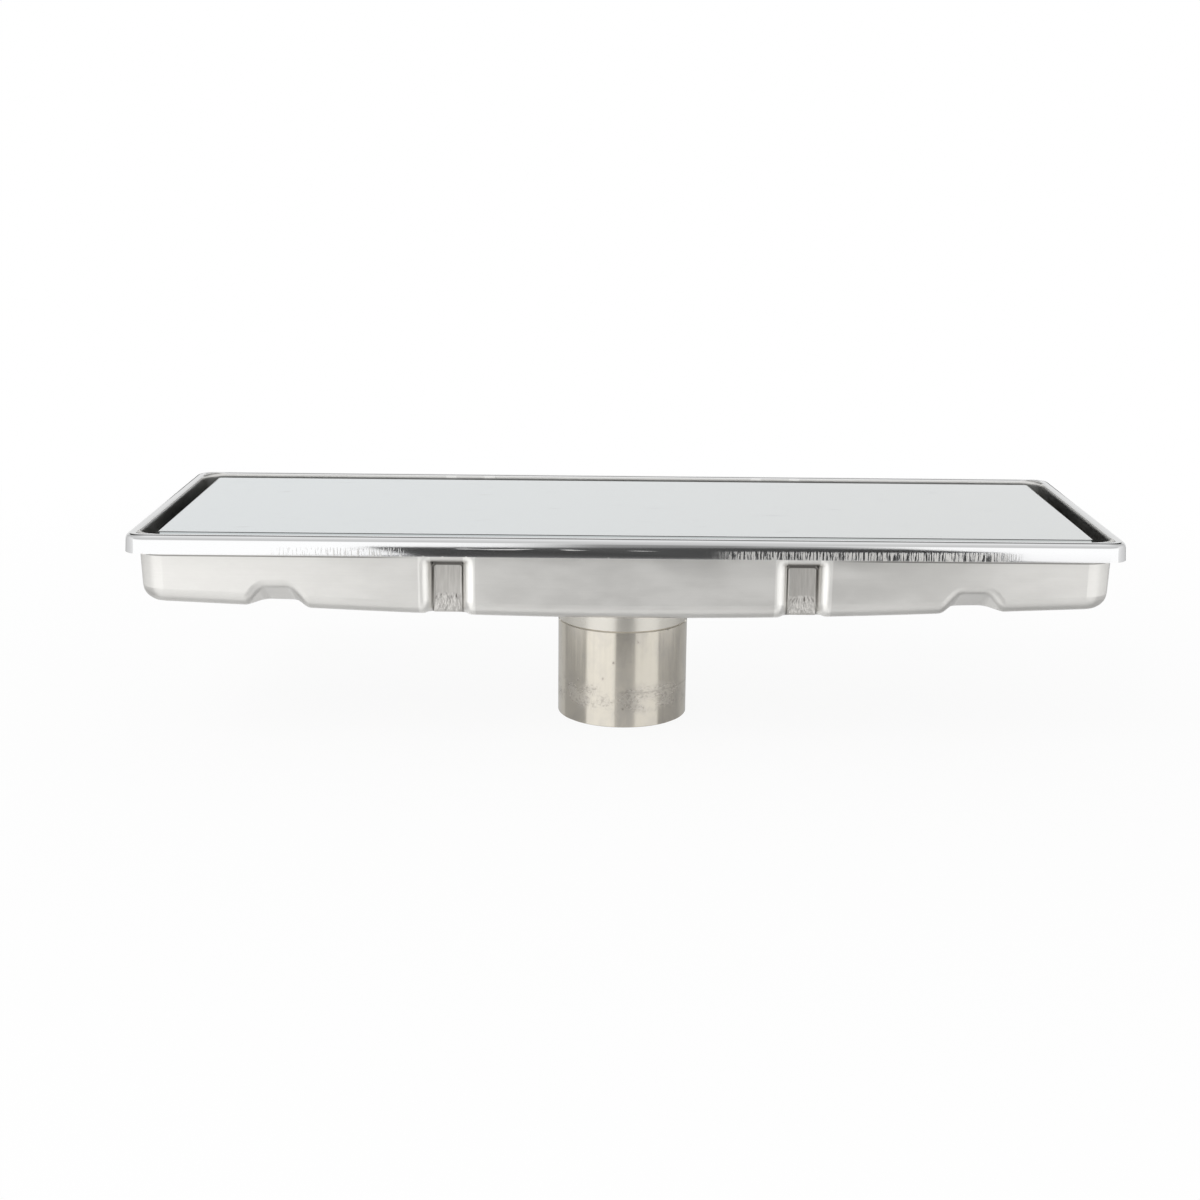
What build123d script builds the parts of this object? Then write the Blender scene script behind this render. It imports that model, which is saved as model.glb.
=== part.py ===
from build123d import *
from math import radians, tan
import os

# Linear shower drain: a channel drawn from one stainless sheet, with a tube welded to its neck,
# a folded cover that rests on ledges in the channel, and a loose hair strainer over the outlet.
# Millimetres and degrees. X runs along the channel, Y across it and Z up.
# The origin is the centre of the tube's foot, the lowest point of the drain.

# Metal gauges
channel_gauge = 0.8
cover_gauge = 0.8
strainer_gauge = 0.6
tube_wall = 1.2

# Rim, measured over the foot of its turned-down lip
rim_length = 300
rim_width = 110
rim_corner_radius = 6
lip_height = 5.6
lip_flare = 4
rim_outer_radius = 1.6
rim_crest_flat = 0.7
rim_inner_radius = 1

# Channel, with its depth measured from the top of the rim to the underside of the sheet
channel_corner_radius = 8.5
wall_draft = 2
floor_depth = 25.8
floor_slope = 2.4
floor_blend_length = 170
floor_bend_radius = 5

# Outlet
seat_diameter = 62
seat_drop = 1.2
seat_side_slope = 45
neck_length = 10.4
neck_flare_radius = 3
tube_diameter = 42.4
tube_length = 31.8
weld_bevel = 0.3
tube_foot_chamfer = 0.2

# Cover
water_gap = 4.45
cover_drop = 0.6
cover_bend_radius = 1.4
cover_corner_slit = 0.8

# Dents in the long walls, whose tops are the ledges under the cover
ledge_drop = 7.8
ledge_lap = 1.2
dent_spacing = 107.2
dent_width = 9.4
dent_side_draft = 4
dent_foot_depth = 4.8
dent_corner_radius = 1
dent_mouth_radius = 3.2

# Darts pressed into the bend between the long walls and the floor
dart_spacing = 210.4
dart_rise = 7.6
dart_reach = 13.6
dart_width = 8.6
dart_side_slope = 45
dart_corner_radius = 3
dart_mouth_radius = 3.4

# Hair strainer
strainer_clearance = 0.8
strainer_cup_depth = 8
strainer_bend_radius = 1.5
strainer_hole_diameter = 3.8
strainer_hole_pitch = 6.2
strainer_rings = 2

# Heights, built up from the tube's foot
seat_underside = tube_length + neck_length
seat_top = seat_underside + channel_gauge
floor_underside = seat_underside + seat_drop
rim_top = floor_underside + floor_depth
lip_foot = rim_top - lip_height
ledge_top = rim_top - ledge_drop
cover_top = rim_top - cover_drop

# Widths that follow from the rim
rim_breadth = lip_height * tan(radians(lip_flare)) + rim_outer_radius + rim_crest_flat + rim_inner_radius
mouth_length = rim_length - 2 * rim_breadth
mouth_width = rim_width - 2 * rim_breadth
channel_length = mouth_length + 2 * channel_gauge
channel_width = mouth_width + 2 * channel_gauge
cover_length = mouth_length - 2 * water_gap
cover_width = mouth_width - 2 * water_gap
ledge_reach = water_gap + cover_gauge + ledge_lap

# Cutters and joined solids run this far past the sheet, so that each cut and join is clean
overrun = 4


def floor_rise(x):
    """Rise of a floor slope above the floor's lowest line, at a distance x from the middle."""
    blend = floor_blend_length / 2
    return blend * tan(radians(floor_slope / 2)) + (x - blend) * tan(radians(floor_slope))


def both_walls(spacing):
    """Places for a pair of features on each long wall, spaced evenly about the middle."""
    return [Location((x, 0, 0), (0, 0, turn)) for x in (-spacing / 2, spacing / 2) for turn in (0, 180)]


def dent_cutter(inset):
    """Tool for one dent in the front wall, deepest at the ledge and shallower at its foot."""
    wall = -channel_width / 2
    ledge_underside = ledge_top - channel_gauge + inset
    sections = []
    for height, depth in ((ledge_underside, ledge_reach), (seat_underside, dent_foot_depth)):
        half_mouth = dent_width / 2 + (depth + overrun) * tan(radians(dent_side_draft))
        with BuildSketch(Plane.XY.offset(height)) as section:
            with BuildLine():
                Polyline(
                    (-half_mouth, wall - overrun),
                    (-dent_width / 2, wall + depth),
                    (dent_width / 2, wall + depth),
                    (half_mouth, wall - overrun),
                    close=True,
                )
            make_face()
            fillet(section.vertices().group_by(Axis.Y)[-1], dent_corner_radius)
            if inset:
                offset(amount=inset, mode=Mode.REPLACE)
        sections.append(section.sketch)
    with BuildPart() as dent:
        loft(sections)
    return dent.part


def dart_cutter(inset):
    """Tool for one dart in the front wall's bottom bend, a flat-nosed groove that slopes under the floor."""
    bend_corner = Vector(0, -channel_width / 2, floor_underside + floor_rise(dart_spacing / 2))
    nose = Plane(
        origin=bend_corner + Vector(0, dart_reach / 2, dart_rise / 2),
        x_dir=(1, 0, 0),
        z_dir=(0, dart_reach, -dart_rise),
    )
    half_mouth = dart_width / 2 + dart_rise * tan(radians(dart_side_slope))
    with BuildPart() as dart:
        with BuildSketch(nose) as section:
            with BuildLine():
                Polyline(
                    (-half_mouth, dart_rise),
                    (-dart_width / 2, 0),
                    (dart_width / 2, 0),
                    (half_mouth, dart_rise),
                    close=True,
                )
            make_face()
            fillet(section.vertices().group_by(Axis.Y)[0], dart_corner_radius)
            if inset:
                offset(amount=inset, mode=Mode.REPLACE)
        extrude(amount=dart_rise + dart_reach, both=True)
    return dart.part


def channel_form(inset):
    """Solid that fills the channel and its neck to within inset of the outer skin."""
    end = channel_length / 2 + overrun
    blend = floor_blend_length / 2
    floor = floor_underside + inset
    seat = seat_underside + inset
    seat_radius = seat_diameter / 2 - inset * tan(radians(seat_side_slope / 2))
    seat_rise = seat_drop + overrun
    seat_run = seat_rise / tan(radians(seat_side_slope))
    neck_radius = tube_diameter / 2 - inset
    dent = dent_cutter(inset)
    dart = dart_cutter(inset)
    with BuildPart() as form:
        # Drafted walls
        with BuildSketch(Plane.XY.offset(seat_underside)):
            RectangleRounded(
                channel_length - 2 * inset,
                channel_width - 2 * inset,
                channel_corner_radius - inset,
            )
        extrude(amount=rim_top - seat_underside)
        walls = form.faces().filter_by(Axis.Z, reverse=True)
        draft(walls, Plane.XY.offset(rim_top), -wall_draft)

        # Floor that falls from both ends to the middle, and the bend around it
        with BuildSketch(Plane.XZ):
            with BuildLine():
                left = Line((-end, floor + floor_rise(end)), (-blend, floor + floor_rise(blend)))
                middle = ThreePointArc(left @ 1, (0, floor), (blend, floor + floor_rise(blend)))
                right = Line(middle @ 1, (end, floor + floor_rise(end)))
                Polyline(right @ 1, (end, 0), (-end, 0), left @ 0)
            make_face()
        extrude(amount=channel_width, both=True, mode=Mode.SUBTRACT)
        fillet(form.edges(Select.NEW), floor_bend_radius - inset)

        # Dents and darts, with rounded mouths
        with Locations(both_walls(dent_spacing)):
            add(dent, mode=Mode.SUBTRACT)
        fillet(form.edges(Select.NEW), dent_mouth_radius - inset)
        with Locations(both_walls(dart_spacing)):
            add(dart, mode=Mode.SUBTRACT)
        fillet(form.edges(Select.NEW), dart_mouth_radius - inset)

        # Round seat and flared neck
        with BuildSketch(Plane.XZ) as outlet:
            with BuildLine():
                Polyline(
                    (0, seat + seat_rise),
                    (seat_radius + seat_run, seat + seat_rise),
                    (seat_radius, seat),
                    (neck_radius, seat),
                    (neck_radius, tube_length),
                    (0, tube_length),
                    close=True,
                )
            make_face()
            flare = outlet.vertices().sort_by_distance((neck_radius, seat))[0]
            fillet(flare, neck_flare_radius + inset)
        revolve(axis=Axis.Z)
    return form.part


def rim_form(inset):
    """Solid that fills the rim, from the lip's foot to within inset of the outer skin."""
    with BuildPart() as form:
        with BuildSketch(Plane.XY.offset(lip_foot)):
            RectangleRounded(
                rim_length - 2 * inset,
                rim_width - 2 * inset,
                rim_corner_radius - inset,
            )
        extrude(amount=lip_height - inset, taper=lip_flare)
        fillet(form.faces().sort_by(Axis.Z)[-1].edges(), rim_outer_radius - inset)
    return form.part


channel_skin = channel_form(0)
channel_hollow = channel_form(channel_gauge)
rim_skin = rim_form(0)
rim_hollow = rim_form(channel_gauge)

with BuildPart() as channel_tray:
    add(rim_skin)
    add(rim_hollow, mode=Mode.SUBTRACT)
    add(channel_skin)
    add(channel_hollow, mode=Mode.SUBTRACT)
    rim_crest = channel_tray.faces().filter_by(Axis.Z).sort_by(Axis.Z)[-1]
    fillet(rim_crest.inner_wires()[0].edges(), rim_inner_radius)
    neck_end = channel_tray.faces().filter_by(Axis.Z).sort_by(Axis.Z)[0]
    chamfer(neck_end.outer_wire().edges(), weld_bevel)

with BuildPart() as outlet_tube:
    with BuildSketch():
        Circle(tube_diameter / 2)
        Circle(tube_diameter / 2 - tube_wall, mode=Mode.SUBTRACT)
    extrude(amount=tube_length)
    tube_end = outlet_tube.faces().sort_by(Axis.Z)[-1]
    chamfer(tube_end.outer_wire().edges(), weld_bevel)
    tube_foot = outlet_tube.faces().sort_by(Axis.Z)[0]
    chamfer(tube_foot.edges(), tube_foot_chamfer)

with BuildPart() as cover_panel:
    # Folded panel: a block with rounded top edges, hollowed from below
    with BuildSketch(Plane.XY.offset(ledge_top)):
        Rectangle(cover_length, cover_width)
    extrude(amount=cover_top - ledge_top)
    fillet(cover_panel.faces().sort_by(Axis.Z)[-1].edges(), cover_bend_radius)
    with BuildSketch(Plane.XY.offset(ledge_top)):
        Rectangle(cover_length - 2 * cover_gauge, cover_width - 2 * cover_gauge)
    extrude(amount=cover_top - ledge_top - cover_gauge, mode=Mode.SUBTRACT)
    panel_underside = cover_panel.faces().filter_by(Axis.Z).sort_by(Axis.Z)[-2]
    fillet(panel_underside.edges(), cover_bend_radius - cover_gauge)

    # Open slits where the flanges meet at the corners
    notch = cover_gauge + cover_corner_slit
    with BuildSketch(Plane.XY.offset(ledge_top)):
        with GridLocations(cover_length - notch, cover_width - notch, 2, 2):
            Rectangle(notch, notch)
    extrude(amount=cover_top - ledge_top, mode=Mode.SUBTRACT)

with BuildPart() as hair_strainer:
    # Flanged cup of one sheet, lying on the seat
    cup_radius = tube_diameter / 2 - channel_gauge - strainer_clearance
    flange_radius = seat_diameter / 2 - channel_gauge - strainer_clearance
    cup_foot = seat_top - strainer_cup_depth
    with BuildSketch(Plane.XZ):
        with BuildLine():
            FilletPolyline(
                (0, cup_foot),
                (cup_radius, cup_foot),
                (cup_radius, seat_top),
                (flange_radius, seat_top),
                radius=strainer_bend_radius,
            )
            offset(amount=strainer_gauge, side=Side.LEFT)
        make_face()
    revolve(axis=Axis.Z)

    # Rings of drain holes round a middle one
    with BuildSketch(Plane.XY.offset(cup_foot)):
        Circle(strainer_hole_diameter / 2)
        for ring in range(1, strainer_rings + 1):
            with PolarLocations(ring * strainer_hole_pitch, 6 * ring):
                Circle(strainer_hole_diameter / 2)
    extrude(amount=strainer_gauge, mode=Mode.SUBTRACT)

channel_tray.part.label = "channel_tray"
outlet_tube.part.label = "outlet_tube"
cover_panel.part.label = "cover_panel"
hair_strainer.part.label = "hair_strainer"

os.makedirs("parts", exist_ok=True)
export_step(channel_tray.part, "parts/channel_tray.step")
export_step(outlet_tube.part, "parts/outlet_tube.step")
export_step(cover_panel.part, "parts/cover_panel.step")
export_step(hair_strainer.part, "parts/hair_strainer.step")
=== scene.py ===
import bpy
from math import cos, radians, sin
from mathutils import Matrix, Vector, noise


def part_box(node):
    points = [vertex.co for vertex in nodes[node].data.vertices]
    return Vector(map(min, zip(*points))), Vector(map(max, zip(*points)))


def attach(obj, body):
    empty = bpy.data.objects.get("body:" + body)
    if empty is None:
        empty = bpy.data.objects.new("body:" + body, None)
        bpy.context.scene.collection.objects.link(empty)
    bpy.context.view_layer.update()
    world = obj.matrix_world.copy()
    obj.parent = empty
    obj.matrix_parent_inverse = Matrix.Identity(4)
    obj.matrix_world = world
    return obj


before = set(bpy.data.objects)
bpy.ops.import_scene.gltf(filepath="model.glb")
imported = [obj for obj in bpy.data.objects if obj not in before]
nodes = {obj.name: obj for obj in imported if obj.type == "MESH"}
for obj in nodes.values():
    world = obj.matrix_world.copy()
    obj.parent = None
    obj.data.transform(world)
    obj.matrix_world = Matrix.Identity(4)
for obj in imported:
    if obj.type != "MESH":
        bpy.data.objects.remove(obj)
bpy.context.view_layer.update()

# Places on the drain that its finishes change at, in metres
rim_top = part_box("channel_tray")[1].z
lip_foot = rim_top - 0.0056
lip_shoulder = rim_top - 0.0016
rim_half_length = 0.15
rim_half_width = 0.055
rim_corner_radius = 0.006
rim_breadth = 0.0037
wall_half_width = 0.0521
seam_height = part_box("outlet_tube")[1].z
floor_height = seam_height + 0.0116
ledge_height = rim_top - 0.0086
dent_place = 0.0536
dent_half_width = 0.0047
dent_corner_radius = 0.0013
dent_shown_top = ledge_height - 0.0009
scuff_height = 0.0102

# Colours of the channel's sheet
satin_dark = (0.71, 0.70, 0.675, 1)
satin_light = (0.775, 0.765, 0.74, 1)
neck_colour = (0.69, 0.665, 0.61, 1)
# Painted highlight on the dents' shoulders
shoulder_highlight_colour = (0.93, 0.92, 0.89, 1)
# Dent faces: a duller press finish, also darker as painted shade
face_dull_and_shade_dark = (0.46, 0.445, 0.42, 1)
face_dull_and_shade_light = (0.56, 0.545, 0.52, 1)
# Painted shade, for the dents' outlines and the line under the lip
painted_shade_colour = (0.13, 0.125, 0.115, 1)
# Painted shade inside the channel
inside_shade_colour = (0.5, 0.495, 0.48, 1)
lip_colour = (0.62, 0.622, 0.625, 1)
# Crest painted brighter than the lip as a painted highlight, and greyer at the ends as painted shade
crest_highlight_colour = (0.80, 0.805, 0.81, 1)
crest_end_shade_colour = (0.60, 0.605, 0.605, 1)
worn_colour = (0.70, 0.69, 0.67, 1)

# Colours of the creased sheet in the dents
crease_dark = (0.50, 0.485, 0.46, 1)
crease_light = (0.62, 0.605, 0.58, 1)
# Painted shade in the crease valleys, and dark spots
crease_shade_colour = (0.14, 0.13, 0.12, 1)

# Colours of the other pieces
# Painted reflection: the cover lighter and bluer on the left than on the right
cover_left = (0.61, 0.645, 0.655, 1)
cover_right = (0.585, 0.605, 0.602, 1)
cover_smudge = (0.56, 0.58, 0.585, 1)
tube_dark = (0.66, 0.617, 0.537, 1)
tube_light = (0.71, 0.67, 0.588, 1)
tube_cloud = (0.62, 0.585, 0.525, 1)
tube_dull = (0.50, 0.475, 0.44, 1)
tube_scuff = (0.38, 0.35, 0.31, 1)
strainer_dark = (0.62, 0.62, 0.61, 1)
strainer_light = (0.72, 0.72, 0.71, 1)
plain_white = (1, 1, 1, 1)


class Shader:
    """A material's node tree, with a short method for each kind of node that the steels need."""

    def __init__(self, name):
        self.material = bpy.data.materials.new(name)
        self.material.use_nodes = True
        self.tree = self.material.node_tree
        self.surface = self.tree.nodes["Principled BSDF"]
        self.place = self.node("ShaderNodeTexCoord").outputs["Object"]
        parts = self.node("ShaderNodeSeparateXYZ")
        self.feed(parts.inputs[0], self.place)
        self.x, self.y, self.z = parts.outputs

    def node(self, kind, **settings):
        made = self.tree.nodes.new(kind)
        for name, value in settings.items():
            setattr(made, name, value)
        return made

    def feed(self, socket, value):
        """Links a socket to another node's output, or sets it to a plain value."""
        if isinstance(value, bpy.types.NodeSocket):
            self.tree.links.new(value, socket)
        else:
            socket.default_value = value

    def math(self, operation, first, second=0.0):
        made = self.node("ShaderNodeMath", operation=operation)
        self.feed(made.inputs[0], first)
        self.feed(made.inputs[1], second)
        return made.outputs[0]

    def both(self, first, *others):
        """Product of masks: one where all of them are."""
        for other in others:
            first = self.math("MULTIPLY", first, other)
        return first

    def either(self, first, *others):
        """Highest of several masks."""
        for other in others:
            first = self.math("MAXIMUM", first, other)
        return first

    def fade(self, value, low, high, low_result=0.0, high_result=1.0):
        """Smooth change from one result to another as a value goes from low to high."""
        made = self.node("ShaderNodeMapRange", interpolation_type="SMOOTHSTEP")
        for socket, given in zip(made.inputs, (value, low, high, low_result, high_result)):
            self.feed(socket, given)
        return made.outputs[0]

    def band(self, value, low, high, soft):
        """One between low and high, fading to nought over a soft edge outside them."""
        rising = self.fade(value, low - soft, low)
        falling = self.fade(value, high, high + soft, 1.0, 0.0)
        return self.math("MULTIPLY", rising, falling)

    def past_corner(self, first, second):
        """Distance past a corner, from how far a place is past each of its two sides."""
        squares = [self.math("POWER", self.math("MAXIMUM", past, 0.0), 2.0) for past in (first, second)]
        return self.math("SQRT", self.math("ADD", *squares))

    def stretched(self, size, shift):
        """Places measured in lumps of a size, in metres along each axis."""
        made = self.node("ShaderNodeMapping", vector_type="TEXTURE")
        self.feed(made.inputs["Vector"], self.place)
        self.feed(made.inputs["Location"], shift)
        self.feed(made.inputs["Scale"], size)
        return made.outputs[0]

    def noise(self, size, detail=2.0, rough=0.5, shift=(0.0, 0.0, 0.0)):
        """Noise whose lumps measure about size."""
        made = self.node("ShaderNodeTexNoise")
        self.feed(made.inputs["Vector"], self.stretched(size, shift))
        self.feed(made.inputs["Scale"], 1.0)
        self.feed(made.inputs["Detail"], detail)
        self.feed(made.inputs["Roughness"], rough)
        return made.outputs["Fac"]

    def specks(self, size, share, shift=(0.0, 0.0, 0.0)):
        """Separate spots, in a share of the cells of a random pattern whose cells measure about size."""
        cells = self.node("ShaderNodeTexVoronoi")
        self.feed(cells.inputs["Vector"], self.stretched(size, shift))
        self.feed(cells.inputs["Scale"], 1.0)
        chance = self.node("ShaderNodeSeparateColor")
        self.feed(chance.inputs[0], cells.outputs["Color"])
        chosen = self.math("LESS_THAN", chance.outputs[0], share)
        return self.both(self.fade(cells.outputs["Distance"], 0.15, 0.35, 1.0, 0.0), chosen)

    def facing(self):
        """Parts of the surface's own normal along each axis."""
        parts = self.node("ShaderNodeSeparateXYZ")
        self.feed(parts.inputs[0], self.node("ShaderNodeNewGeometry").outputs["Normal"])
        return parts.outputs

    def tint(self, factor, first, second):
        """Colour between two others."""
        made = self.node("ShaderNodeMix", data_type="RGBA")
        colours = [socket for socket in made.inputs if socket.type == "RGBA"]
        self.feed(made.inputs["Factor"], factor)
        self.feed(colours[0], first)
        self.feed(colours[1], second)
        return next(socket for socket in made.outputs if socket.type == "RGBA")

    def between(self, factor, first, second):
        """Number between two others."""
        made = self.node("ShaderNodeMix", data_type="FLOAT")
        numbers = [socket for socket in made.inputs if socket.type == "VALUE"]
        for socket, value in zip(numbers, (factor, first, second)):
            self.feed(socket, value)
        return next(socket for socket in made.outputs if socket.type == "VALUE")

    def bump(self, height, depth, normal=None):
        """Relief of a height from nought to one, scaled to a depth in metres."""
        made = self.node("ShaderNodeBump")
        self.feed(made.inputs["Height"], height)
        self.feed(made.inputs["Distance"], depth)
        if normal is not None:
            self.feed(made.inputs["Normal"], normal)
        return made.outputs["Normal"]

    def steel(self, colour, roughness, normal, metallic=1.0):
        self.feed(self.surface.inputs["Metallic"], metallic)
        self.feed(self.surface.inputs["Base Color"], colour)
        self.feed(self.surface.inputs["Roughness"], roughness)
        self.feed(self.surface.inputs["Normal"], normal)
        return self.material


def cover_steel():
    """Bright rolled sheet with faint smudges, tinted lighter and bluer on the left as a painted
    reflection.
    """
    shader = Shader("cover_steel")
    # Painted reflection, lighter and bluer towards the left
    side = shader.fade(shader.x, -0.14, 0.14)
    clean = shader.tint(side, cover_left, cover_right)
    smudge = shader.noise((0.012, 0.005, 0.012), 4.0, 0.65)
    haze = shader.fade(smudge, 0.58, 0.8)
    colour = shader.tint(haze, clean, cover_smudge)
    grain = shader.noise((0.02, 0.00015, 0.02), 2.0)
    roughness = shader.between(haze, 0.12, 0.17)
    normal = shader.bump(grain, 0.0000006)
    return shader.steel(colour, roughness, normal)


def channel_steel():
    """Drawn sheet: satin walls and underside, and a rim polished by the press."""
    shader = Shader("channel_steel")
    along = shader.math("ABSOLUTE", shader.x)
    across = shader.math("ABSOLUTE", shader.y)

    # Distance in from the rim's outline, round its corners too
    past_length = shader.math("SUBTRACT", along, rim_half_length - rim_corner_radius)
    past_width = shader.math("SUBTRACT", across, rim_half_width - rim_corner_radius)
    inset = shader.math("SUBTRACT", rim_corner_radius, shader.past_corner(past_length, past_width))

    # Polish on the crest and the outer face of the lip
    above_foot = shader.fade(shader.z, lip_foot - 0.0005, lip_foot - 0.0001)
    on_rim = shader.fade(inset, rim_breadth - 0.0006, rim_breadth + 0.0002, 1.0, 0.0)
    polish = shader.both(above_foot, on_rim)

    # Inside of the channel, painted darker as shade
    lean_x, lean_y, lean_z = shader.facing()
    inward_y = shader.math("MULTIPLY", lean_y, shader.math("SIGN", shader.y))
    inward_x = shader.math("MULTIPLY", lean_x, shader.math("SIGN", shader.x))
    at_side = shader.fade(inward_y, -0.3, -0.1, 1.0, 0.0)
    at_end = shader.fade(inward_x, -0.3, -0.1, 1.0, 0.0)
    at_end = shader.both(at_end, shader.fade(along, 0.13, 0.135))
    at_floor = shader.fade(lean_z, 0.2, 0.4)
    below_crest = shader.fade(shader.z, rim_top - 0.0014, rim_top - 0.0008, 1.0, 0.0)
    inside = shader.both(shader.either(at_side, at_end, at_floor), below_crest)
    inside = shader.both(inside, shader.fade(inset, rim_breadth - 0.0004, rim_breadth))

    # Dents: painted shade along their outlines, a dull streaked face that is partly painted shade, and
    # painted highlights on the shoulders beside it
    off_centre = shader.math("ABSOLUTE", shader.math("SUBTRACT", along, dent_place))
    sunken = shader.fade(across, wall_half_width - 0.0022, wall_half_width - 0.0008, 1.0, 0.0)
    outside = shader.fade(across, wall_half_width - 0.0075, wall_half_width - 0.007)
    over_dent = shader.fade(off_centre, dent_half_width - 0.0001, dent_half_width + 0.0003, 1.0, 0.0)
    dent = shader.both(sunken, outside)
    face = shader.both(over_dent, dent)
    past_side = shader.math("SUBTRACT", off_centre, dent_half_width - dent_corner_radius)
    past_top = shader.math("SUBTRACT", shader.z, dent_shown_top - dent_corner_radius)
    outward = shader.past_corner(past_side, past_top)
    beside = shader.band(outward, dent_corner_radius - 0.0005, dent_corner_radius - 0.0001, 0.0002)
    above = shader.fade(shader.z, dent_shown_top - 0.0005, dent_shown_top - 0.0002)
    outline = shader.either(beside, shader.both(above, over_dent))
    # Painted shade along the dents' outlines, stronger towards their tops
    outline_shade = shader.fade(shader.z, floor_height, ledge_height - 0.004, 0.35, 1.0)
    outline_shade = shader.both(outline_shade, dent, outline)
    # Painted highlight on the rounded shoulders beside each dent
    shoulder_highlight = shader.band(off_centre, dent_half_width + 0.0005, dent_half_width + 0.0036, 0.0005)
    shallow = shader.fade(across, wall_half_width - 0.0062, wall_half_width - 0.005)
    shoulder_highlight = shader.both(shoulder_highlight, shallow)
    streaks = shader.fade(shader.noise((0.0007, 0.02, 0.009), 3.0, 0.6), 0.3, 0.7)
    dull = shader.tint(streaks, face_dull_and_shade_dark, face_dull_and_shade_light)

    # Satin with soft clouds and faint lines from the drawing
    clouds = shader.noise((0.02, 0.02, 0.008), 4.0, 0.6)
    drawn = shader.noise((0.03, 0.03, 0.0006), 3.0, 0.6, (0.3, 0.1, 0.2))
    shade = shader.fade(shader.between(0.15, clouds, drawn), 0.3, 0.7)
    satin = shader.tint(shade, satin_dark, satin_light)
    neck = shader.fade(shader.z, floor_height - 0.0016, floor_height - 0.0013, 1.0, 0.0)
    satin = shader.tint(neck, satin, neck_colour)
    # Painted highlight on the dents' shoulders
    satin = shader.tint(shoulder_highlight, satin, shoulder_highlight_colour)
    # Dent faces, duller from the press and darker as painted shade
    satin = shader.tint(face, satin, dull)

    # Dark line where the lip shades the wall, away from the middle
    line_height = shader.band(shader.z, lip_foot - 0.00115, lip_foot - 0.00085, 0.00015)
    line = shader.both(line_height, shader.fade(along, 0.058, 0.08, 0.0, 0.7))
    # Painted shade of the dents' outlines and of the lip's line, over the satin
    painted_shade_mask = shader.either(outline_shade, line)
    satin_shaded = shader.tint(painted_shade_mask, satin, painted_shade_colour)
    # Painted shade inside the channel
    satin_shaded = shader.tint(inside, satin_shaded, inside_shade_colour)

    # Press marks on the lip: dull upright scores low on its face, thin cuts along it, burrs at its foot
    down_lip = shader.math("SUBTRACT", lip_shoulder, shader.z)
    down_lip = shader.math("DIVIDE", down_lip, lip_shoulder - lip_foot)
    lower = shader.math("MINIMUM", shader.math("MAXIMUM", down_lip, 0.0), 1.0)
    scores = shader.noise((0.0005, 0.05, 0.006), 3.0, 0.6)
    left_scores = shader.fade(scores, 0.54, 0.64)
    left_scores = shader.both(left_scores, shader.band(shader.x, -0.1, -0.072, 0.008))
    right_scores = shader.fade(scores, 0.46, 0.54)
    right_scores = shader.both(right_scores, shader.band(shader.x, 0.036, 0.106, 0.014))
    scored = shader.both(shader.either(left_scores, right_scores), shader.fade(lower, 0.3, 0.5))
    cuts = shader.fade(shader.noise((0.02, 0.05, 0.0007), 1.0, 0.4), 0.5, 0.6, 0.0, 0.9)
    cuts = shader.both(cuts, shader.band(shader.x, -0.046, 0.012, 0.006))
    cuts = shader.both(cuts, shader.band(lower, 0.39, 0.42, 0.04))
    burrs = shader.specks((0.0014, 0.0014, 0.0014), 0.35)
    burrs = shader.both(burrs, shader.fade(lower, 0.9, 0.97))
    worn = shader.both(shader.either(scored, cuts, burrs), polish)

    # Colour, roughness and shine of the whole sheet
    on_crest = shader.fade(shader.z, rim_top - 0.0007, rim_top - 0.0003)
    # Painted highlight on the crest, greying to painted shade towards the ends
    crest = shader.tint(shader.fade(along, 0.142, 0.146), crest_highlight_colour, crest_end_shade_colour)
    bright = shader.tint(on_crest, lip_colour, crest)
    polished = shader.tint(worn, bright, worn_colour)
    colour = shader.tint(polish, satin_shaded, polished)
    satin_rough = shader.fade(clouds, 0.3, 0.7, 0.3, 0.38)
    satin_rough = shader.between(neck, satin_rough, 0.25)
    polish_rough = shader.between(worn, 0.07, 0.38)
    roughness = shader.between(polish, satin_rough, polish_rough)
    metallic = shader.between(polish, 0.74, shader.between(worn, 1.0, 0.85))
    metallic = shader.either(metallic, inside)

    # Lip bowed under towards its foot
    below_bulge = shader.math("ADD", lower, 0.19)
    bow = shader.math("SUBTRACT", 1.0, shader.math("POWER", below_bulge, 2.0))
    bowed = shader.bump(shader.both(bow, polish), 0.00018)
    pressed = shader.bump(worn, 0.00001, bowed)
    unpolished = shader.fade(polish, 0.0, 1.0, 1.0, 0.0)
    normal = shader.bump(shader.both(drawn, unpolished), 0.000005, pressed)
    return shader.steel(colour, roughness, normal, metallic)


def crumple_steel():
    """The dents' creased sheet, with painted shade in its crease valleys and dark spots along its top.
    """
    shader = Shader("crumple_steel")
    crease_shades_and_spots = shader.node("ShaderNodeAttribute", attribute_name="crease_shade_and_spot").outputs["Fac"]
    mottle = shader.noise((0.0012, 0.0012, 0.0012), 3.0, 0.6)
    clean = shader.tint(mottle, crease_dark, crease_light)
    colour = shader.tint(crease_shades_and_spots, clean, crease_shade_colour)
    roughness = shader.fade(mottle, 0.3, 0.7, 0.3, 0.4)
    return shader.steel(colour, roughness, shader.bump(mottle, 0.000006), metallic=0.75)


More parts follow.
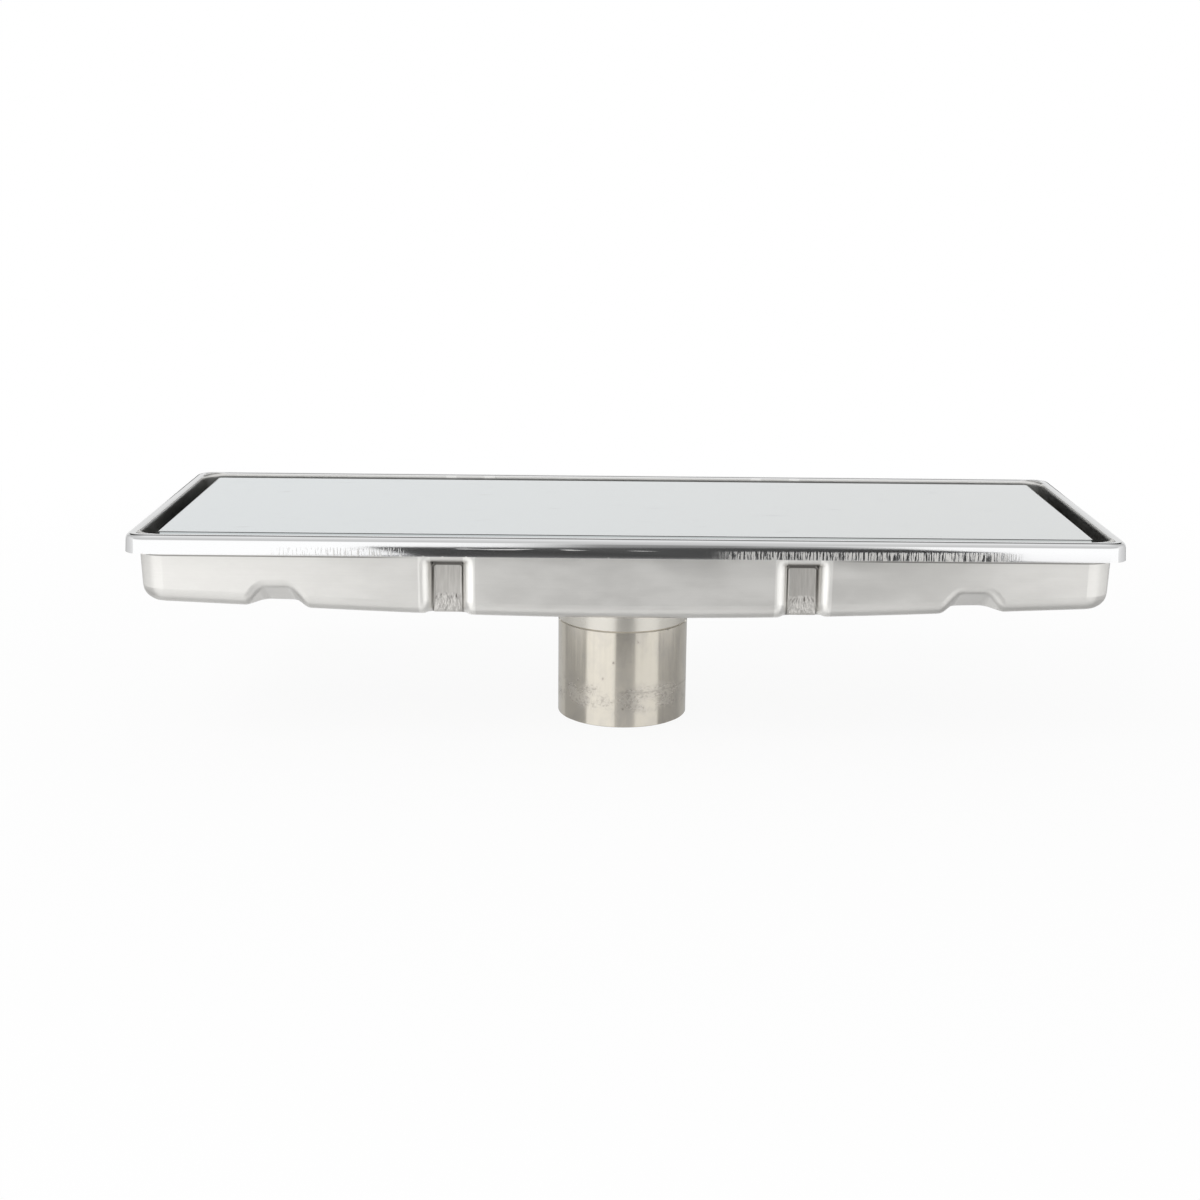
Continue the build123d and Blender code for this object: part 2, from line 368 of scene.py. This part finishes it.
def tube_steel():
    """Drawn tube with lines along it, and a scuffed ring above its foot."""
    shader = Shader("tube_steel")
    lines = shader.noise((0.0008, 0.0008, 0.03), 3.0)
    clouds = shader.noise((0.006, 0.006, 0.01), 4.0, 0.6)
    warm = shader.tint(lines, tube_dark, tube_light)
    clean = shader.tint(shader.fade(clouds, 0.4, 0.7), warm, tube_cloud)

    # Scuffs: grainy dull patches in a ring, a faint broken scratch above them, and specks all over
    ring = shader.band(shader.z, scuff_height - 0.0025, scuff_height + 0.0015, 0.004)
    patch = shader.fade(shader.noise((0.008, 0.008, 0.006), 3.0, 0.55), 0.4, 0.6)
    grain = shader.fade(shader.noise((0.0009, 0.0009, 0.0007), 4.0, 0.7), 0.48, 0.62)
    stray = shader.both(shader.specks((0.0016, 0.0016, 0.0022), 0.05, (0.2, 0.1, 0.3)), 0.8)
    broken = shader.fade(shader.noise((0.012, 0.012, 0.02), 1.0), 0.47, 0.55)
    scratch = shader.band(shader.z, scuff_height + 0.0014, scuff_height + 0.0016, 0.0001)
    scratch = shader.both(scratch, broken, 0.7)
    dull = shader.both(patch, ring)
    mark = shader.either(shader.both(grain, dull), stray, scratch)
    colour = shader.tint(shader.both(dull, 0.35), clean, tube_dull)
    colour = shader.tint(shader.both(mark, 0.75), colour, tube_scuff)
    smooth = shader.fade(lines, 0.3, 0.7, 0.12, 0.18)
    roughness = shader.between(shader.either(dull, mark), smooth, 0.31)
    lined = shader.bump(lines, 0.000006)
    normal = shader.bump(mark, 0.000008, lined)
    return shader.steel(colour, roughness, normal, metallic=0.95)


def strainer_steel():
    """Satin pressed sheet."""
    shader = Shader("strainer_steel")
    mottle = shader.noise((0.006, 0.006, 0.006), 3.0)
    colour = shader.tint(mottle, strainer_dark, strainer_light)
    roughness = shader.fade(mottle, 0.3, 0.7, 0.26, 0.36)
    return shader.steel(colour, roughness, shader.bump(mottle, 0.000005))


def finish_nodes():
    """Gives each node of the drain its steel."""
    for name, steel in (
        ("channel_tray", channel_steel),
        ("outlet_tube", tube_steel),
        ("cover_panel", cover_steel),
        ("hair_strainer", strainer_steel),
    ):
        mesh = nodes[name].data
        mesh.materials.clear()
        mesh.materials.append(steel())


def link(made):
    bpy.context.scene.collection.objects.link(made)
    return made


def grid_faces(columns, rows):
    """Faces between points that stand in rows, with one point more each way than there are faces."""
    faces = []
    for row in range(rows):
        for column in range(columns):
            first = row * (columns + 1) + column
            above = first + columns + 1
            faces.append((first, first + 1, above + 1, above))
    return faces


def make_crumple(name, middle, side, steel):
    """Creased sheet over the lower part of one dent's face, sunk into the face at its own edges."""
    columns = 72
    rows = 56
    foot = 0.0448
    height = 0.0062
    half_width = dent_half_width - 0.0005
    face_foot = floor_height - 0.0012
    face_foot_depth = 0.0048
    face_lean = 0.00165
    edge_lift = -0.00003
    sheet_lift = 0.00006
    crease_height = 0.00009
    lump_height = 0.0001
    crease_shade_limit = 0.55
    points = []
    crease_shades_and_spots = []
    for row in range(rows + 1):
        rise = row / rows
        for column in range(columns + 1):
            aside = 2 * column / columns - 1
            x = middle + aside * half_width
            ragged = 1 - 0.3 * noise.noise(Vector((x * 700, side, 0))) ** 2
            z = foot + height * rise * ragged
            depth = face_foot_depth + (z - face_foot) / (ledge_height - face_foot) * face_lean
            spot = Vector((1150 * x + 1.6 * aside * rise, 5 * side, 450 * z))
            crease = noise.ridged_multi_fractal(spot, 0.9, 2.1, 4, 1.0, 2.0)
            lump = noise.fractal(spot * 0.6, 0.8, 2.0, 3)
            edge = (1 - aside ** 10) * min(1, 8 * rise) * min(1, 5 * (1 - rise))
            lift = edge_lift + edge * (sheet_lift + crease_height * crease + lump_height * lump)
            points.append((x, side * (wall_half_width - depth + lift), z))
            # Painted shade in the valleys of the creases, and dark spots along the upper edge
            border = max(0, 1 - abs(rise - 0.8) / 0.2) * max(0, noise.noise(spot * 1.2) + 0.05)
            crease_shades_and_spots.append(min(1, max(0, crease_shade_limit - crease) * edge + 2.4 * border))
    faces = grid_faces(columns, rows)
    mesh = bpy.data.meshes.new(name)
    mesh.from_pydata(points, [], faces if side < 0 else [face[::-1] for face in faces])
    mesh.attributes.new("crease_shade_and_spot", "FLOAT", "POINT").data.foreach_set("value", crease_shades_and_spots)
    mesh.shade_smooth()
    mesh.materials.append(steel)
    piece = link(bpy.data.objects.new(name, mesh))
    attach(piece, "root")


def seen_white(tree):
    """One for the rays that show the background: the camera's own, reflections and what glass shows."""
    rays = tree.nodes.new("ShaderNodeLightPath")
    total = rays.outputs["Is Camera Ray"]
    for kind in ("Is Glossy Ray", "Is Transmission Ray"):
        joined = tree.nodes.new("ShaderNodeMath")
        joined.operation = "MAXIMUM"
        tree.links.new(total, joined.inputs[0])
        tree.links.new(rays.outputs[kind], joined.inputs[1])
        total = joined.outputs[0]
    return total


def make_world():
    """Soft light from all round, on a white background."""
    world = bpy.data.worlds.new("studio")
    world.use_nodes = True
    tree = world.node_tree
    lit = tree.nodes["Background"]
    lit.inputs["Color"].default_value = plain_white
    lit.inputs["Strength"].default_value = 0.75
    white = tree.nodes.new("ShaderNodeBackground")
    white.inputs["Color"].default_value = plain_white
    mixed = tree.nodes.new("ShaderNodeMixShader")
    tree.links.new(seen_white(tree), mixed.inputs[0])
    tree.links.new(lit.outputs[0], mixed.inputs[1])
    tree.links.new(white.outputs[0], mixed.inputs[2])
    tree.links.new(mixed.outputs[0], tree.nodes["World Output"].inputs["Surface"])
    bpy.context.scene.world = world


def make_floor():
    """Pale floor that keeps the drain's shadow near it and is as white as the background further off."""
    reach = 30.0
    floor_colour = (0.92, 0.92, 0.92, 1)
    mesh = bpy.data.meshes.new("floor")
    corners = [(x * reach, y * reach, 0) for x, y in ((-1, -1), (1, -1), (1, 1), (-1, 1))]
    mesh.from_pydata(corners, [], [range(4)])
    floor = link(bpy.data.objects.new("floor", mesh))
    shader = Shader("floor_white")
    tree = shader.tree
    tree.nodes.remove(shader.surface)
    matt = shader.node("ShaderNodeBsdfDiffuse")
    shader.feed(matt.inputs["Color"], floor_colour)
    glow = shader.node("ShaderNodeEmission")
    length = shader.node("ShaderNodeVectorMath", operation="LENGTH")
    shader.feed(length.inputs[0], shader.place)
    share = shader.fade(length.outputs["Value"], 0.12, 0.5, 0.91, 1.0)
    mixed = shader.node("ShaderNodeMixShader")
    shader.feed(mixed.inputs[0], shader.both(seen_white(tree), share))
    shader.feed(mixed.inputs[1], matt.outputs[0])
    shader.feed(mixed.inputs[2], glow.outputs[0])
    shader.feed(tree.nodes["Material Output"].inputs["Surface"], mixed.outputs[0])
    mesh.materials.append(shader.material)
    floor.visible_glossy = False


def card_glow():
    """Plain glow whose strength a card's corners carry."""
    material = bpy.data.materials.new("card_glow")
    material.use_nodes = True
    tree = material.node_tree
    tree.nodes.remove(tree.nodes["Principled BSDF"])
    plain = tree.nodes.new("ShaderNodeEmission")
    plain.inputs["Color"].default_value = plain_white
    shade = tree.nodes.new("ShaderNodeAttribute")
    shade.attribute_name = "shade"
    tree.links.new(shade.outputs["Fac"], plain.inputs["Strength"])
    tree.links.new(plain.outputs[0], tree.nodes["Material Output"].inputs["Surface"])
    return material


def make_card(name, corners, faces, shades, glow):
    """A studio card that only reflections see, with a shade of grey at each of its corners."""
    mesh = bpy.data.meshes.new(name)
    mesh.from_pydata(corners, [], faces)
    mesh.attributes.new("shade", "FLOAT", "POINT").data.foreach_set("value", shades)
    mesh.materials.append(glow)
    card = link(bpy.data.objects.new(name, mesh))
    card.visible_camera = False
    card.visible_diffuse = False
    card.visible_shadow = False


def make_flat(name, corners, shades, glow):
    """A card with one face."""
    make_card(name, corners, [range(len(corners))], shades, glow)


def make_screen(name, plan, rows, glow):
    """An upright folding screen over a floor plan, as rows of a height and a shade at each fold."""
    corners = [(x, y, height) for height, row in rows for x, y in plan]
    shades = [shade for height, row in rows for shade in row]
    make_card(name, corners, grid_faces(len(plan) - 1, len(rows) - 1), shades, glow)


def make_cards():
    """Cards round the drain: a dark shape in front, bright beside it, grey ends, light right above."""
    glow = card_glow()
    front = -0.62
    behind = front - 0.01
    lowest = -0.6
    left = (-0.6, -0.26)
    right = (0.6, -0.27)
    back_left = (-0.6, 0.4)
    back_right = (0.6, 0.4)

    # Dark shape in front, reflected in the lip: a place across, a height and a shade at each corner
    shape = (
        (-0.124, -0.1, 0.06),
        (-0.03, -0.1, 0.13),
        (0.074, -0.1, 0.10),
        (0.241, -0.1, 0.05),
        (0.236, -0.028, 0.05),
        (0.175, -0.004, 0.06),
        (0.074, -0.008, 0.10),
        (-0.03, -0.018, 0.13),
        (-0.15, -0.026, 0.06),
    )
    corners = [(x, front, z) for x, z, shade in shape]
    make_flat("front_shape", corners, [shade for x, z, shade in shape], glow)

    # Bright screen behind it, greyer above the dark shape's middle
    folds = [(x, behind) for x in (-0.17, -0.07, -0.01, 0.07, 0.13, 0.19, 0.25)]
    plan = [left, *folds, right]
    make_screen("front_screen", plan, [
        (-0.1, (1.6, 1.6, 1.4, 1.0, 1.0, 1.4, 1.5, 1.5, 1.6)),
        (-0.02, (1.6, 1.6, 1.4, 0.4, 0.35, 0.4, 1.5, 1.6, 1.6)),
        (0.05, (1.6, 1.6, 1.5, 0.55, 0.5, 0.9, 1.6, 1.6, 1.6)),
        (0.14, (1.5, 1.5, 1.4, 0.7, 0.7, 1.1, 1.5, 1.5, 1.5)),
        (0.2, [0.9] * len(plan)),
        (0.5, [0.85] * len(plan)),
    ], glow)

    # Below it, what the walls and the tube reflect
    folds = [(x, behind) for x in (-0.15, -0.14, 0.25, 0.26)]
    lower = (1.15, 1.15, 0.62, 0.62, 1.0, 1.0)
    upper = (1.15, 1.15, 0.3, 0.3, 0.7, 1.0)
    rows = [(lowest, lower), (-0.15, lower), (-0.14, upper), (-0.1, upper)]
    make_screen("front_low_screen", [left, *folds, right], rows, glow)
    corners = [(0.29, front, -0.3), (0.32, front, -0.3), (0.32, front, -0.14), (0.29, front, -0.14)]
    make_flat("bright_strip", corners, [1.8] * 4, glow)

    # Ends: grey below, bright beside the walls, darker towards the back
    for name, corner, back in (("left_screen", left, back_left), ("right_screen", right, back_right)):
        make_screen(name, [corner, back], [
            (lowest, (0.42, 0.42)),
            (-0.13, (0.42, 0.42)),
            (-0.12, (1.2, 0.8)),
            (0.14, (1.3, 0.7)),
            (0.5, (0.9, 0.6)),
        ], glow)

    # Behind the drain: grey below, and a dark strip above that
    plan = [back_left, (-0.42, 0.9), (0.42, 0.9), back_right]
    grey = (0.62, 0.6, 0.5, 0.5)
    dark = (0.12, 0.12)
    make_screen("back_low_screen", plan, [(lowest, grey), (-0.03, grey)], glow)
    make_screen("back_dark_screen", plan[1:3], [(-0.03, dark), (0.16, dark)], glow)

    # Overhead, light above the drain and dark behind that: rows of a place, a height and a shade
    rows = [(0.05, 0.75, 0.75), (0.37, 0.65, 0.55), (0.47, 0.62, 0.05), (0.95, 0.47, 0.05)]
    sides = (-0.7, 0.7)
    corners = [(x, y, z) for y, z, shade in rows for x in sides]
    shades = [shade for y, z, shade in rows for x in sides]
    make_card("overhead_card", corners, grid_faces(1, len(rows) - 1), shades, glow)

    # Below the drain, brighter in front and on the left
    half_length = 0.65
    middle = -0.15
    for name, near, far, left_shade, right_shade in (
        ("low_front_card", front, middle, 1.2, 0.6),
        ("low_back_card", middle, 0.6, 0.75, 0.3),
    ):
        outline = ((-half_length, near), (half_length, near), (half_length, far), (-half_length, far))
        corners = [(x, y, lowest) for x, y in outline]
        make_flat(name, corners, [left_shade, right_shade, right_shade, left_shade], glow)


def make_lamp(name, place, aim, width, height, watts):
    """A softbox that points at a place."""
    data = bpy.data.lights.new(name, "AREA")
    data.shape = "RECTANGLE"
    data.size = width
    data.size_y = height
    data.energy = watts
    lamp = link(bpy.data.objects.new(name, data))
    lamp.location = place
    lamp.rotation_euler = (Vector(aim) - Vector(place)).to_track_quat("-Z", "Y").to_euler()
    lamp.visible_glossy = False


def make_camera():
    """The photograph's view, as pitch, yaw and roll in degrees and a place in metres."""
    pitch = radians(13.9863)
    yaw = radians(-0.0765)
    roll = radians(0.5159)
    place = (-0.006768, -0.592403, rim_top + 0.115525)
    focal_pixels = 1853.56
    image_pixels = 1200
    forward = Vector((sin(yaw) * cos(pitch), cos(yaw) * cos(pitch), -sin(pitch)))
    level = Vector((cos(yaw), -sin(yaw), 0))
    upward = level.cross(forward)
    right = level * cos(roll) + upward * sin(roll)
    up = upward * cos(roll) - level * sin(roll)
    data = bpy.data.cameras.new("camera")
    data.sensor_width = 36.0
    data.lens = data.sensor_width * focal_pixels / image_pixels
    data.clip_start = 0.01
    camera = link(bpy.data.objects.new("camera", data))
    turn = Matrix((right, up, -forward)).transposed()
    camera.matrix_world = Matrix.Translation(place) @ turn.to_4x4()
    bpy.context.scene.camera = camera


finish_nodes()
creased = crumple_steel()
for number, (middle, side) in enumerate(((-1, -1), (1, -1), (-1, 1), (1, 1))):
    make_crumple("dent_crumple_" + str(number + 1), middle * dent_place, side, creased)
make_world()
make_floor()
make_cards()
make_lamp("key_lamp", place=(-0.5, -0.6, 0.9), aim=(0, 0, 0.05), width=0.6, height=0.6, watts=3.0)
make_camera()
bpy.context.scene.view_settings.view_transform = "Standard"
